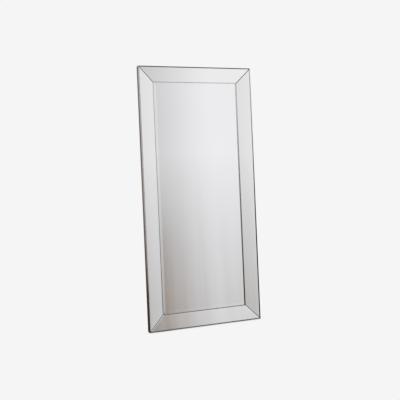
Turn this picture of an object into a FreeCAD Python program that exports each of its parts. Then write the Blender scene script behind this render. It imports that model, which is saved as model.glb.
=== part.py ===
"""Full-length mirror with a mirrored-glass border.

A mitred wooden frame carries four sloping mirror strips between a silver outer bead and a silver
inner bead. A bevelled mirror plate lies in the frame's rebate, held by a packing sheet and a screwed
backing board. The back has corner braces, four strap hangers with swinging D-rings and wall bumpers.
Two floor pads lie under the bottom rail, with heels that lap round its back edge.

Frame: +Z up, +X to the right of someone facing the mirror, +Y from the glass towards the wall.
The origin is on the floor, at the middle of the frame's width and depth. Lengths are millimetres.
"""

import FreeCAD, Part
import Sketcher
import math
import os

from FreeCAD import Placement, Rotation, Vector

# Driving dimensions, in millimetres and degrees
DIMENSIONS = {
    # Frame as a whole
    "frame_width": 760,
    "frame_height": 1650,
    "frame_depth": 38,
    "border_width": 99,
    "mitre_gap": 0.3,
    # Silver bead round the outside of the glass border
    "outer_bead_width": 5,
    "outer_bead_height": 5,
    "outer_bead_round": 1.8,
    # Silver bead at the sight edge
    "inner_bead_width": 3,
    "inner_bead_proud": 0.6,
    "inner_bead_round": 1.2,
    # Sloping mirror strips and the tape behind them
    "slope_angle": 12.5,
    "strip_set_back": 1,
    "strip_glass": 3,
    "strip_edge_gap": 0.3,
    "strip_arris": 0.8,
    "strip_mitre_gap": 0.9,
    "tape_thickness": 1,
    "tape_width": 50,
    "tape_end_inset": 20,
    # Rebate, plate and backing
    "lip_thickness": 3.5,
    "plate_cover": 7,
    "plate_side_gap": 1,
    "plate_seat_gap": 0.1,
    "plate_thickness": 4,
    "bevel_width": 25,
    "bevel_depth": 1.8,
    "block_length": 40,
    "block_place_share": 0.25,
    "packing_thickness": 1,
    "packing_inset": 4,
    "ledge_width": 16,
    "board_thickness": 3,
    "board_side_gap": 1,
    # Screws that hold the backing board
    "board_screws_per_stile": 5,
    "board_screws_per_rail": 2,
    "board_screw_radius": 1.75,
    "board_screw_length": 10,
    # Corner braces
    "brace_inset": 28,
    "brace_arm": 80,
    "brace_width": 18,
    "brace_thickness": 1.5,
    "brace_round": 3,
    "brace_end_hole": 10,
    "brace_hole_pitch": 32,
    "brace_screw_radius": 1.75,
    "brace_screw_length": 16,
    # Strap hangers and D-rings
    "upright_drop": 300,
    "lengthways_drop": 165,
    "strap_width": 20,
    "strap_length": 78,
    "strap_thickness": 1.5,
    "strap_end_round": 6,
    "strap_slope_end": 10,
    "strap_first_hole": 42,
    "strap_hole_pitch": 22,
    "hanger_screw_radius": 2.25,
    "hanger_screw_length": 20,
    "ring_wire_radius": 2,
    "ring_half_width": 16,
    "ring_leg": 12,
    "ring_bend": 4,
    "ring_bore_gap": 0.3,
    "ring_rest_gap": 0.6,
    # Screw heads and pilot holes
    "head_radius_share": 2,
    "head_height_share": 1.1,
    "head_chamfer_share": 0.4,
    "tip_length_share": 1.6,
    "pilot_gap": 0.1,
    "pilot_spare": 1,
    "screw_hole_gap": 0.3,
    # Pads and bumpers
    "pad_length": 80,
    "pad_front_gap": 2.5,
    "pad_thickness": 2.5,
    "heel_thickness": 4,
    "heel_height": 14,
    "pad_round": 6,
    "pad_place_share": 0.7,
    "bumper_radius": 8,
    "bumper_height": 4,
    "bumper_chamfer": 1.5,
    "bumper_inset": 16,
    # How far a cut runs past the piece that it cuts
    "cut_overrun": 5,
}

# Positions worked out from the driving dimensions. Depths run back from the front of the outer bead,
# and insets run in from the outer edge of the frame.
LAYOUT = {
    "centre_height": "dims.pad_thickness + dims.frame_height / 2",
    "front_depth": "-dims.frame_depth / 2",
    "back_depth": "dims.frame_depth / 2",
    "strip_outer_inset": (
        "dims.outer_bead_width + dims.strip_edge_gap + dims.strip_glass * sin(dims.slope_angle)"
    ),
    "strip_inner_inset": "dims.border_width - dims.inner_bead_width - dims.strip_edge_gap",
    "strip_drop": "(strip_inner_inset - strip_outer_inset) * tan(dims.slope_angle)",
    "strip_inner_depth": "dims.strip_set_back + strip_drop",
    "glass_lean": "dims.strip_glass * sin(dims.slope_angle)",
    "glass_fall": "dims.strip_glass * cos(dims.slope_angle)",
    "glass_upright": "dims.strip_glass / cos(dims.slope_angle)",
    "bed_upright": "(dims.strip_glass + dims.tape_thickness) / cos(dims.slope_angle)",
    "lip_inset": "dims.border_width - dims.inner_bead_width",
    "bed_outer_depth": (
        "dims.strip_set_back + bed_upright"
        " + (dims.outer_bead_width - strip_outer_inset) * tan(dims.slope_angle)"
    ),
    "bed_inner_depth": (
        "dims.strip_set_back + bed_upright + (lip_inset - strip_outer_inset) * tan(dims.slope_angle)"
    ),
    "tape_outer_inset": "(strip_outer_inset + strip_inner_inset - dims.tape_width) / 2",
    "tape_inner_inset": "tape_outer_inset + dims.tape_width",
    "tape_outer_depth": (
        "dims.strip_set_back + glass_upright"
        " + (tape_outer_inset - strip_outer_inset) * tan(dims.slope_angle)"
    ),
    "tape_inner_depth": "tape_outer_depth + dims.tape_width * tan(dims.slope_angle)",
    "tape_upright": "dims.tape_thickness / cos(dims.slope_angle)",
    "inner_bead_front": "strip_inner_depth - dims.inner_bead_proud",
    "rebate_depth": "bed_inner_depth + dims.lip_thickness",
    "plate_inset": "dims.border_width - dims.plate_cover",
    "plate_front": (
        "rebate_depth + dims.plate_seat_gap"
        " - dims.bevel_depth * (1 - dims.plate_cover / dims.bevel_width)"
    ),
    "plate_back": "plate_front + dims.plate_thickness",
    "rebate_inset": "plate_inset - dims.plate_side_gap",
    "ledge_depth": "plate_back + dims.packing_thickness",
    "board_rebate_inset": "rebate_inset - dims.ledge_width",
    "board_inset": "board_rebate_inset + dims.board_side_gap",
    "board_back": "ledge_depth + dims.board_thickness",
    "board_screw_inset": "(rebate_inset + board_rebate_inset) / 2",
    "board_hole_depth": "dims.board_screw_length - dims.board_thickness + dims.pilot_spare",
    "brace_middle": "dims.brace_inset + dims.brace_width / 2",
    "brace_hole_far": "dims.brace_inset + dims.brace_arm - dims.brace_end_hole",
    "brace_hole_near": "brace_hole_far - dims.brace_hole_pitch",
    "brace_hole_depth": "dims.brace_screw_length - dims.brace_thickness + dims.pilot_spare",
    "hanger_inset": "board_rebate_inset / 2",
    "strap_double": "2 * dims.strap_thickness",
    "ring_bore": "dims.ring_wire_radius + dims.ring_bore_gap",
    "loop_radius": "ring_bore + dims.strap_thickness",
    "strap_second_hole": "dims.strap_first_hole + dims.strap_hole_pitch",
    "hanger_hole_depth": "dims.hanger_screw_length - strap_double + dims.pilot_spare",
    "ring_reach": "dims.ring_leg + dims.ring_half_width",
    "ring_rest_angle": (
        "asin((strap_double + dims.ring_rest_gap + dims.ring_wire_radius - loop_radius) / ring_reach)"
    ),
    "pad_front": "front_depth + dims.outer_bead_height + dims.pad_front_gap",
    "heel_back": "back_depth + dims.heel_thickness",
}

# Each side of the frame: its length, its turn about Y and the middle of its outer edge
SIDES = {
    "bottom": ("dims.frame_width", 0, "0", "dims.pad_thickness"),
    "left": ("dims.frame_height", 90, "-dims.frame_width / 2", "layout.centre_height"),
    "top": ("dims.frame_width", 180, "0", "dims.pad_thickness + dims.frame_height"),
    "right": ("dims.frame_height", -90, "dims.frame_width / 2", "layout.centre_height"),
}

doc = FreeCAD.newDocument("leaner_mirror")
pieces = []


def fill_sheet(name, cells):
    """A spreadsheet of that name with one named cell for each entry."""
    sheet = doc.addObject("Spreadsheet::Sheet", name)
    for row, (alias, content) in enumerate(cells.items(), start=1):
        sheet.set(f"A{row}", alias)
        sheet.set(f"B{row}", str(content))
        sheet.setAlias(f"B{row}", alias)
    doc.recompute()
    return sheet


dims = fill_sheet("dims", DIMENSIONS)
layout = fill_sheet("layout", {alias: "=" + formula for alias, formula in LAYOUT.items()})


def size(alias):
    """The value of a named cell, as a plain number."""
    sheet = dims if alias in DIMENSIONS else layout
    value = getattr(sheet, alias)
    return float(getattr(value, "Value", value))


def new_body(label):
    """A body with that label."""
    body = doc.addObject("PartDesign::Body", label)
    body.Label = label
    return body


def new_sketch(body, role, name, lift=None):
    """A sketch on one of the body's origin planes, lifted along the plane's normal by an expression."""
    plane = next(f for f in body.Origin.OriginFeatures if f.Role == role)
    sketch = body.newObject("Sketcher::SketchObject", name)
    sketch.AttachmentSupport = [(plane, "")]
    sketch.MapMode = "FlatFace"
    if lift:
        sketch.setExpression("AttachmentOffset.Base.z", lift)
    return sketch


def pin_value(sketch, kind, expression, *where):
    """Adds a constraint whose value follows an expression."""
    value = sketch.evalExpression(expression)
    index = sketch.addConstraint(Sketcher.Constraint(kind, *where, float(getattr(value, "Value", value))))
    sketch.setExpression(f"Constraints[{index}]", expression)


def pin_point(sketch, geometry, end, across, up):
    """Ties a point of the sketch to two expressions, measured from the sketch's origin."""
    pin_value(sketch, "DistanceX", across, -1, 1, geometry, end)
    pin_value(sketch, "DistanceY", up, -1, 1, geometry, end)


def add_outline(sketch, corners):
    """A closed outline of straight edges whose corners are pairs of expressions."""
    first = sketch.GeometryCount
    count = len(corners)
    turn = 2 * math.pi / count
    start = [Vector(math.cos(i * turn), math.sin(i * turn), 0) for i in range(count)]
    for i in range(count):
        sketch.addGeometry(Part.LineSegment(start[i], start[(i + 1) % count]), False)
    for i, (across, up) in enumerate(corners):
        following = first + (i + 1) % count
        sketch.addConstraint(Sketcher.Constraint("Coincident", first + i, 2, following, 1))
        pin_point(sketch, first + i, 1, across, up)


def add_circle(sketch, across, up, radius):
    """A circle whose centre and radius are expressions."""
    index = sketch.addGeometry(Part.Circle(Vector(1, 1, 0), Vector(0, 0, 1), 1), False)
    pin_point(sketch, index, 3, across, up)
    pin_value(sketch, "Radius", radius, index)


def rectangle(left, right, low, high):
    """The corners of an upright rectangle."""
    return [(left, low), (right, low), (right, high), (left, high)]


def add_pad(body, sketch, length, symmetric=False, backwards=False):
    """Pads a sketch by an expression, to one side or evenly to both."""
    pad = body.newObject("PartDesign::Pad", body.Label + "_pad")
    pad.Profile = sketch
    pad.SideType = "Symmetric" if symmetric else "One side"
    pad.Reversed = backwards
    pad.setExpression("Length", length)
    doc.recompute()
    return pad


def add_pocket(body, sketch, length, symmetric=False, backwards=False):
    """Cuts a sketch out of the body and makes sure that the cut removed something."""
    before = body.Shape.Volume
    pocket = body.newObject("PartDesign::Pocket", body.Label + "_pocket")
    pocket.Profile = sketch
    pocket.SideType = "Symmetric" if symmetric else "One side"
    pocket.Reversed = backwards
    pocket.setExpression("Length", length)
    doc.recompute()
    if not body.Shape.Volume < before:
        raise RuntimeError(f"{pocket.Name} cut nothing")
    return pocket


def edges_where(feature, test):
    """Names of the feature's straight edges whose middle and direction pass the test."""
    names = []
    for index, edge in enumerate(feature.Shape.Edges, start=1):
        if edge.Curve.TypeId == "Part::GeomLine":
            middle = edge.CenterOfMass
            along = edge.tangentAt(edge.FirstParameter)
            if test(middle, along):
                names.append(f"Edge{index}")
    if not names:
        raise RuntimeError(f"no edge of {feature.Name} passes the test")
    return names


def round_edges(body, feature, radius, test):
    """Fillets the edges of the feature that pass the test."""
    fillet = body.newObject("PartDesign::Fillet", body.Label + "_fillet")
    fillet.Base = (feature, edges_where(feature, test))
    fillet.setExpression("Radius", radius)
    doc.recompute()
    return fillet


def chamfer_edges(body, feature, width, test):
    """Chamfers the edges of the feature that pass the test."""
    chamfer = body.newObject("PartDesign::Chamfer", body.Label + "_chamfer")
    chamfer.Base = (feature, edges_where(feature, test))
    chamfer.setExpression("Size", width)
    doc.recompute()
    return chamfer


def near(value, target):
    """Whether two lengths agree, on the scale of the frame."""
    return abs(value - target) < size("frame_depth") / 1e4


def lengthwise(along):
    """Whether an edge runs along a side's length."""
    return near(abs(along.x), 1)


def place(thing, across, depth, height, turn=0):
    """Puts a piece at three expressions and turns it about the Y axis."""
    thing.Placement = Placement(Vector(), Rotation(Vector(0, 1, 0), turn))
    for axis, expression in (("x", across), ("y", depth), ("z", height)):
        thing.setExpression("Placement.Base." + axis, expression)


def finish(thing):
    """Counts a piece among those that are written out."""
    pieces.append(thing)
    return thing


def repeat(label, master, placements):
    """One node that holds a copy of the master's shape at each placement."""
    copies = []
    for placement in placements:
        copy = master.Shape.copy()
        copy.Placement = placement.multiply(master.Placement)
        copies.append(copy)
    group = doc.addObject("Part::Feature", label)
    group.Label = label
    group.Shape = Part.makeCompound(copies)
    return finish(group)


# Mitred lengths: frame members, beads and glass strips


def cut_mitres(body, length, gap):
    """Cuts both ends of a side at 45 degrees, drawn back from the corner by the gap."""
    sketch = new_sketch(body, "XZ_Plane", body.Label + "_mitres")
    for sign in ("-", ""):
        end = f"{sign}({length} / 2 - {gap}"
        outside = f"{end} + dims.cut_overrun)"
        inside = f"{end} - dims.border_width - dims.cut_overrun)"
        top = "dims.border_width + dims.cut_overrun"
        add_outline(sketch, [(outside, "-dims.cut_overrun"), (inside, top), (outside, top)])
    return add_pocket(body, sketch, "4 * dims.frame_depth", symmetric=True)


def mitred_side(stem, side, corners, dress=None, gap="dims.mitre_gap"):
    """A length of moulding with mitred ends on one side of the frame. Its section is given as pairs of
    depth and inset, and dress rounds or chamfers its edges once the ends are cut."""
    length, turn, across, height = SIDES[side]
    body = new_body(f"{stem}_{side}")
    section = new_sketch(body, "YZ_Plane", body.Label + "_section")
    add_outline(section, corners)
    add_pad(body, section, length, symmetric=True)
    mitred = cut_mitres(body, length, gap)
    if dress:
        dress(body, mitred)
    place(body, across, "layout.front_depth", height, turn)
    return finish(body)


def drill_back(body, name, spots, radius, depth):
    """Blind pilot holes from the back of a frame member, at pairs of run and inset."""
    sketch = new_sketch(body, "XZ_Plane", f"{body.Label}_{name}", "-dims.frame_depth")
    for run, inset in spots:
        add_circle(sketch, run, inset, f"{radius} + dims.pilot_gap")
    add_pocket(body, sketch, depth, backwards=True)


def board_screw_runs(side):
    """Places of the backing-board screws along a side, evenly spaced about its middle."""
    upright = side in ("left", "right")
    count = int(size("board_screws_per_stile" if upright else "board_screws_per_rail"))
    length = SIDES[side][0]
    return [
        f"({length} - 2 * layout.rebate_inset) * {(2 * i + 1 - count) / (2 * count)}"
        for i in range(count)
    ]


def hanger_runs(side):
    """Places of the hanger screws along a side, in the side's own direction."""
    sign = "" if side in ("top", "right") else "-"
    drop = "upright_drop" if side in ("left", "right") else "lengthways_drop"
    pivot = f"{SIDES[side][0]} / 2 - dims.{drop}"
    return [f"{sign}({pivot} - layout.strap_second_hole)", f"{sign}({pivot} - dims.strap_first_hole)"]


def frame_member(side):
    """A wooden side with a bed for the glass, a rebate for the plate and a ledge for the backing."""
    corners = [
        ("dims.frame_depth", "0"),
        ("dims.outer_bead_height", "0"),
        ("dims.outer_bead_height", "dims.outer_bead_width"),
        ("layout.bed_outer_depth", "dims.outer_bead_width"),
        ("layout.bed_inner_depth", "layout.lip_inset"),
        ("layout.rebate_depth", "layout.lip_inset"),
        ("layout.rebate_depth", "layout.rebate_inset"),
        ("layout.ledge_depth", "layout.rebate_inset"),
        ("layout.ledge_depth", "layout.board_rebate_inset"),
        ("dims.frame_depth", "layout.board_rebate_inset"),
    ]
    body = mitred_side("frame", side, corners)
    length = SIDES[side][0]
    spots = [(run, "layout.hanger_inset") for run in hanger_runs(side)]
    drill_back(body, "hanger_pilots", spots, "dims.hanger_screw_radius", "layout.hanger_hole_depth")
    spots = [
        (f"{sign}({length} / 2 - layout.{hole})", "layout.brace_middle")
        for sign in ("-", "")
        for hole in ("brace_hole_far", "brace_hole_near")
    ]
    drill_back(body, "brace_pilots", spots, "dims.brace_screw_radius", "layout.brace_hole_depth")
    spots = [(run, "layout.board_screw_inset") for run in board_screw_runs(side)]
    reach = "dims.frame_depth - layout.ledge_depth + layout.board_hole_depth"
    drill_back(body, "board_pilots", spots, "dims.board_screw_radius", reach)


def outer_bead(side):
    """Silver bead round the outside of the glass, rounded at the front."""
    corners = rectangle("0", "dims.outer_bead_height", "0", "dims.outer_bead_width")

    def front_edge(at, along):
        return lengthwise(along) and near(at.y, 0)

    def dress(body, mitred):
        round_edges(body, mitred, "dims.outer_bead_round", front_edge)

    mitred_side("outer_bead", side, corners, dress)


def inner_bead(side):
    """Silver bead at the sight edge, from just proud of the glass down to the plate."""
    depths = ("layout.inner_bead_front", "layout.rebate_depth")
    corners = rectangle(*depths, "layout.lip_inset", "dims.border_width")
    front = size("inner_bead_front")

    def front_edge(at, along):
        return lengthwise(along) and near(at.y, front)

    def dress(body, mitred):
        round_edges(body, mitred, "dims.inner_bead_round", front_edge)

    mitred_side("inner_bead", side, corners, dress)


def mirror_strip(side):
    """A strip of silvered glass that slopes in towards the plate, with an arris round its front."""
    outer, inner = "layout.strip_outer_inset", "layout.strip_inner_inset"
    corners = [
        ("dims.strip_set_back", outer),
        ("layout.strip_inner_depth", inner),
        ("layout.strip_inner_depth + layout.glass_fall", f"{inner} - layout.glass_lean"),
        ("dims.strip_set_back + layout.glass_fall", f"{outer} - layout.glass_lean"),
    ]
    outer_front, inner_front = size("strip_set_back"), size("strip_inner_depth")
    edge_fronts = (outer_front, inner_front, (outer_front + inner_front) / 2)

    def front_edge(at, along):
        return any(near(at.y, front) for front in edge_fronts)

    def dress(body, mitred):
        chamfer_edges(body, mitred, "dims.strip_arris", front_edge)

    mitred_side("mirror_strip", side, corners, dress, "dims.strip_mitre_gap")


def strip_tape(side):
    """Foam tape that holds a strip on its bed."""
    length, turn, across, height = SIDES[side]
    body = new_body(f"strip_tape_{side}")
    section = new_sketch(body, "YZ_Plane", body.Label + "_section")
    corners = [
        ("layout.tape_outer_depth", "layout.tape_outer_inset"),
        ("layout.tape_inner_depth", "layout.tape_inner_inset"),
        ("layout.tape_inner_depth + layout.tape_upright", "layout.tape_inner_inset"),
        ("layout.tape_outer_depth + layout.tape_upright", "layout.tape_outer_inset"),
    ]
    add_outline(section, corners)
    run = f"{length} - 2 * (layout.tape_inner_inset + dims.tape_end_inset)"
    add_pad(body, section, run, symmetric=True)
    place(body, across, "layout.front_depth", height, turn)
    finish(body)


# Plate and backing


def panel(label, inset, front, thickness):
    """A flat panel whose edges lie that far in from the frame's outer edge."""
    body = new_body(label)
    sketch = new_sketch(body, "XZ_Plane", label + "_outline")
    wide = f"(dims.frame_width / 2 - ({inset}))"
    tall = f"(dims.frame_height / 2 - ({inset}))"
    add_outline(sketch, rectangle(f"-{wide}", wide, f"-{tall}", tall))
    pad = add_pad(body, sketch, thickness, backwards=True)
    place(body, "0", f"layout.front_depth + {front}", "layout.centre_height")
    return body, pad


def mirror_plate():
    """The looking glass, with a wide bevel ground round its front."""
    body, pad = panel("mirror_plate", "layout.plate_inset", "layout.plate_front", "dims.plate_thickness")
    whole = pad.Shape.Volume
    bevel = body.newObject("PartDesign::Chamfer", "mirror_plate_bevel")
    bevel.Base = (pad, edges_where(pad, lambda at, along: near(at.y, 0) and near(along.y, 0)))
    bevel.ChamferType = "Two distances"
    bevel.setExpression("Size", "dims.bevel_depth")
    bevel.setExpression("Size2", "dims.bevel_width")
    doc.recompute()
    flat = bevel.Shape.Faces
    front = max(face.Area for face in flat if near(face.CenterOfMass.y, 0))
    wide = size("frame_width") - 2 * (size("plate_inset") + size("bevel_width"))
    tall = size("frame_height") - 2 * (size("plate_inset") + size("bevel_width"))
    if not bevel.Shape.Volume < whole or abs(front - wide * tall) > front / 1e4:
        raise RuntimeError("the bevel lies the wrong way")
    finish(body)


def backing():
    """The packing sheet behind the plate and the board that is screwed over it."""
    inset = "layout.plate_inset + dims.packing_inset"
    body, pad = panel("packing_sheet", inset, "layout.plate_back", "dims.packing_thickness")
    finish(body)
    body, pad = panel("backing_board", "layout.board_inset", "layout.ledge_depth", "dims.board_thickness")
    holes = new_sketch(body, "XZ_Plane", "backing_board_holes")
    for side in SIDES:
        for run in board_screw_runs(side):
            out = "layout.board_screw_inset"
            spot = {
                "bottom": (run, f"{out} - dims.frame_height / 2"),
                "top": (f"-({run})", f"dims.frame_height / 2 - {out}"),
                "left": (f"{out} - dims.frame_width / 2", f"-({run})"),
                "right": (f"dims.frame_width / 2 - {out}", run),
            }[side]
            add_circle(holes, *spot, "dims.board_screw_radius + dims.screw_hole_gap")
    add_pocket(body, holes, "4 * dims.board_thickness", symmetric=True)
    finish(body)


def setting_blocks():
    """Two rubber blocks that the plate's lower edge stands on."""
    body = new_body("setting_block")
    sketch = new_sketch(body, "XZ_Plane", "setting_block_outline")
    half = "dims.block_length / 2"
    add_outline(sketch, rectangle(f"-{half}", half, "0", "dims.plate_side_gap"))
    add_pad(body, sketch, "dims.plate_thickness - dims.bevel_depth", backwards=True)
    depth = size("front_depth") + size("plate_front") + size("bevel_depth")
    height = size("pad_thickness") + size("rebate_inset")
    offset = size("frame_width") * size("block_place_share")
    spots = [Placement(Vector(sign * offset, depth, height), Rotation()) for sign in (-1, 1)]
    repeat("setting_blocks", body, spots)


# Fasteners and hardware on the back


def screw(name):
    """A pan-head wood screw along +Y, with the underside of its head at the origin."""
    body = new_body(name)
    sketch = new_sketch(body, "XY_Plane", name + "_section")
    radius = f"dims.{name}_radius"
    length = f"dims.{name}_length"
    head = f"{radius} * dims.head_radius_share"
    height = f"{radius} * dims.head_height_share"
    chamfer = f"{radius} * dims.head_chamfer_share"
    corners = [
        ("0", f"-{length}"),
        (radius, f"{radius} * dims.tip_length_share - {length}"),
        (radius, "0"),
        (head, "0"),
        (head, f"{height} - {chamfer}"),
        (f"{head} - {chamfer}", height),
        ("0", height),
    ]
    add_outline(sketch, corners)
    turn = body.newObject("PartDesign::Revolution", name + "_turn")
    turn.Profile = sketch
    turn.ReferenceAxis = (sketch, ["V_Axis"])
    turn.Angle = 360
    doc.recompute()
    return body


def side_placement(side):
    """Where a side's own frame lies: run along X, depth along Y, inset along Z."""
    turn = SIDES[side][1]
    half_wide, half_tall = size("frame_width") / 2, size("frame_height") / 2
    out = half_tall if side in ("top", "bottom") else half_wide
    rotation = Rotation(Vector(0, 1, 0), turn)
    base = Vector(0, 0, size("centre_height")) - rotation.multVec(Vector(0, 0, out))
    return Placement(base, rotation)


def side_length(side):
    """The length of a side along its outer edge."""
    return size("frame_height" if side in ("left", "right") else "frame_width")


def board_screws():
    """The screws through the backing board into the frame's ledge."""
    seat = size("front_depth") + size("board_back")
    spots = []
    for side in SIDES:
        upright = side in ("left", "right")
        count = int(size("board_screws_per_stile" if upright else "board_screws_per_rail"))
        clear = side_length(side) - 2 * size("rebate_inset")
        for i in range(count):
            run = clear * (2 * i + 1 - count) / (2 * count)
            local = Placement(Vector(run, seat, size("board_screw_inset")), Rotation())
            spots.append(side_placement(side).multiply(local))
    repeat("backing_screws", screw("board_screw"), spots)


def corner_placements():
    """The four corners at the back of the frame, each with its X and Z running inwards along the sides."""
    corners = []
    for side in SIDES:
        local = Placement(Vector(-side_length(side) / 2, size("back_depth"), 0), Rotation())
        corners.append(side_placement(side).multiply(local))
    return corners


def corner_braces():
    """Flat steel angles across the mitres, and the screws that hold them."""
    body = new_body("corner_brace")
    sketch = new_sketch(body, "XZ_Plane", "corner_brace_outline")
    start, end = "dims.brace_inset", "dims.brace_inset + dims.brace_arm"
    inner = "dims.brace_inset + dims.brace_width"
    corners = [(start, start), (end, start), (end, inner), (inner, inner), (inner, end), (start, end)]
    add_outline(sketch, corners)
    pad = add_pad(body, sketch, "dims.brace_thickness", backwards=True)
    far = size("brace_inset") + size("brace_arm")

    def arm_end(at, along):
        return near(abs(along.y), 1) and (near(at.x, far) or near(at.z, far))

    round_edges(body, pad, "dims.brace_round", arm_end)
    holes = new_sketch(body, "XZ_Plane", "corner_brace_holes")
    runs = ("layout.brace_hole_far", "layout.brace_hole_near")
    for run in runs:
        add_circle(holes, run, "layout.brace_middle", "dims.brace_screw_radius + dims.screw_hole_gap")
        add_circle(holes, "layout.brace_middle", run, "dims.brace_screw_radius + dims.screw_hole_gap")
    add_pocket(body, holes, "4 * dims.brace_thickness", symmetric=True)
    corners = corner_placements()
    repeat("corner_braces", body, corners)
    middle = size("brace_middle")
    spots = []
    for corner in corners:
        for run in (size("brace_hole_far"), size("brace_hole_near")):
            for x, z in ((run, middle), (middle, run)):
                local = Placement(Vector(x, size("brace_thickness"), z), Rotation())
                spots.append(corner.multiply(local))
    repeat("brace_screws", screw("brace_screw"), spots)


def wall_bumpers():
    """Rubber discs at the back corners that keep the frame off the wall."""
    body = new_body("wall_bumper")
    sketch = new_sketch(body, "XY_Plane", "wall_bumper_section")
    radius, height, chamfer = "dims.bumper_radius", "dims.bumper_height", "dims.bumper_chamfer"
    corners = [
        ("0", "0"),
        (radius, "0"),
        (radius, f"{height} - {chamfer}"),
        (f"{radius} - {chamfer}", height),
        ("0", height),
    ]
    add_outline(sketch, corners)
    turn = body.newObject("PartDesign::Revolution", "wall_bumper_turn")
    turn.Profile = sketch
    turn.ReferenceAxis = (sketch, ["V_Axis"])
    turn.Angle = 360
    doc.recompute()
    inset = size("bumper_inset")
    local = Placement(Vector(inset, 0, inset), Rotation())
    repeat("wall_bumpers", body, [corner.multiply(local) for corner in corner_placements()])


def floor_pads():
    """Two rubber pads under the bottom rail, each with a heel that laps up behind it."""
    body = new_body("floor_pad")
    section = new_sketch(body, "YZ_Plane", "floor_pad_section")
    front, back, heel = "layout.pad_front", "layout.back_depth", "layout.heel_back"
    seat, high = "dims.pad_thickness", "dims.heel_height"
    corners = [(front, "0"), (heel, "0"), (heel, high), (back, high), (back, seat), (front, seat)]
    add_outline(section, corners)
    pad = add_pad(body, section, "dims.pad_length", symmetric=True)
    foremost, highest = size("pad_front"), size("heel_height")

    def outer_corner(at, along):
        at_front = near(abs(along.z), 1) and near(at.y, foremost)
        on_heel = near(abs(along.y), 1) and near(at.z, highest)
        return at_front or on_heel

    round_edges(body, pad, "dims.pad_round", outer_corner)
    offset = size("frame_width") / 2 * size("pad_place_share")
    spots = [Placement(Vector(sign * offset, 0, 0), Rotation()) for sign in (-1, 1)]
    repeat("floor_pads", body, spots)


def hanger_placement(side):
    """Where a hanger's loop lies: the strap runs down from it in its own frame, flat on the back."""
    across, inset = size("frame_width") / 2, size("hanger_inset")
    if side in ("left", "right"):
        x = (across - inset) * (1 if side == "right" else -1)
        z = size("pad_thickness") + size("frame_height") - size("upright_drop")
        return Placement(Vector(x, size("back_depth"), z), Rotation())
    x = size("lengthways_drop") - across
    half = size("frame_height") / 2 - inset
    z = size("centre_height") + half * (1 if side == "top" else -1)
    return Placement(Vector(x, size("back_depth"), z), Rotation(Vector(0, 1, 0), -90))


def strap_section(sketch):
    """Side view of a strap: doubled steel that opens into a round loop at the top."""
    radius, double = size("loop_radius"), size("strap_double")
    length, slope_end = size("strap_length"), size("strap_slope_end")
    centre, foot = Vector(radius, 0, 0), Vector(double, -slope_end, 0)
    span = foot - centre
    lean = math.atan2(span.y, span.x) + math.acos(radius / span.Length)
    touch = centre + Vector(math.cos(lean), math.sin(lean), 0) * radius
    low_back, low_front = Vector(0, -length, 0), Vector(double, -length, 0)
    arc = Part.ArcOfCircle(Part.Circle(centre, Vector(0, 0, 1), radius), lean, math.pi)
    loop = sketch.addGeometry(arc, False)
    back = sketch.addGeometry(Part.LineSegment(Vector(), low_back), False)
    bottom = sketch.addGeometry(Part.LineSegment(low_back, low_front), False)
    front = sketch.addGeometry(Part.LineSegment(low_front, foot), False)
    slope = sketch.addGeometry(Part.LineSegment(foot, touch), False)
    for first, second in ((loop, back), (back, bottom), (bottom, front), (front, slope)):
        sketch.addConstraint(Sketcher.Constraint("Coincident", first, 2, second, 1))
    sketch.addConstraint(Sketcher.Constraint("Tangent", slope, 2, loop, 1))
    pin_point(sketch, loop, 3, "layout.loop_radius", "0")
    pin_point(sketch, back, 1, "0", "0")
    pin_point(sketch, bottom, 1, "0", "-dims.strap_length")
    pin_point(sketch, front, 1, "layout.strap_double", "-dims.strap_length")
    pin_point(sketch, slope, 1, "layout.strap_double", "-dims.strap_slope_end")


def hanger_strap(label, spot):
    """A steel strap bent round a D-ring's bar, with two screw holes."""
    body = new_body(label)
    section = new_sketch(body, "YZ_Plane", label + "_section")
    strap_section(section)
    pad = add_pad(body, section, "dims.strap_width", symmetric=True)
    low = -size("strap_length")

    def end_corner(at, along):
        return near(abs(along.y), 1) and near(at.z, low)

    round_edges(body, pad, "dims.strap_end_round", end_corner)
    bore = new_sketch(body, "YZ_Plane", label + "_bore")
    add_circle(bore, "layout.loop_radius", "0", "layout.ring_bore")
    add_pocket(body, bore, "2 * dims.strap_width", symmetric=True)
    holes = new_sketch(body, "XZ_Plane", label + "_holes")
    for height in ("-dims.strap_first_hole", "-layout.strap_second_hole"):
        add_circle(holes, "0", height, "dims.hanger_screw_radius + dims.screw_hole_gap")
    add_pocket(body, holes, "8 * dims.strap_thickness", symmetric=True)
    body.Placement = spot
    finish(body)


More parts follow.
